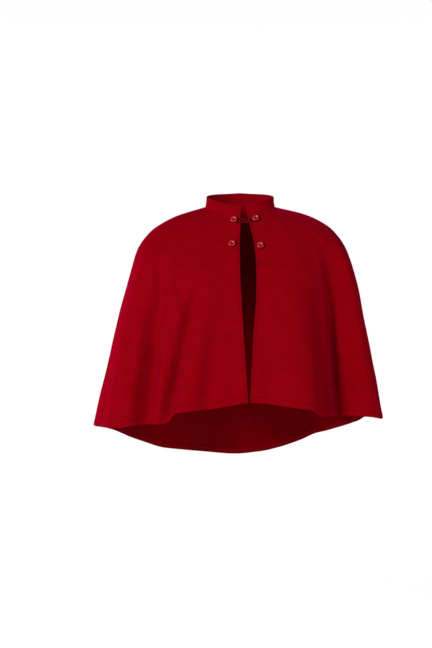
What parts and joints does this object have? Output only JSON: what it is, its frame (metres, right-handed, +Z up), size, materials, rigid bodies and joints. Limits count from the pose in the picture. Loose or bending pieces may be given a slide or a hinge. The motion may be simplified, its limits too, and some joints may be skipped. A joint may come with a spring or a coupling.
{
  "type": "wool cape",
  "caption": "Short flared wool cape with a stand collar, worn open at the front, joined at the neck by a cord loop and round buttons.",
  "frame": {"origin": "middle of the neckline seam, where the wearer's neck and shoulders hold the cape", "axes": "+Z up, -Y out of the open front, +X towards the wearer's left"},
  "size_m": [0.6982, 0.3864, 0.6533],
  "materials": {
    "wool": "felted red wool coating with a short soft nap",
    "button": "glossy deep red",
    "cord": "dark red twisted cord"
  },
  "bodies": {
    "root": {"front_right": "wool", "front_left": "wool", "back": "wool", "collar": "wool", "button_upper_right": "button", "button_upper_left": "button", "button_lower_right": "button", "button_lower_left": "button", "loop": "cord"}
  },
  "joints": []
}
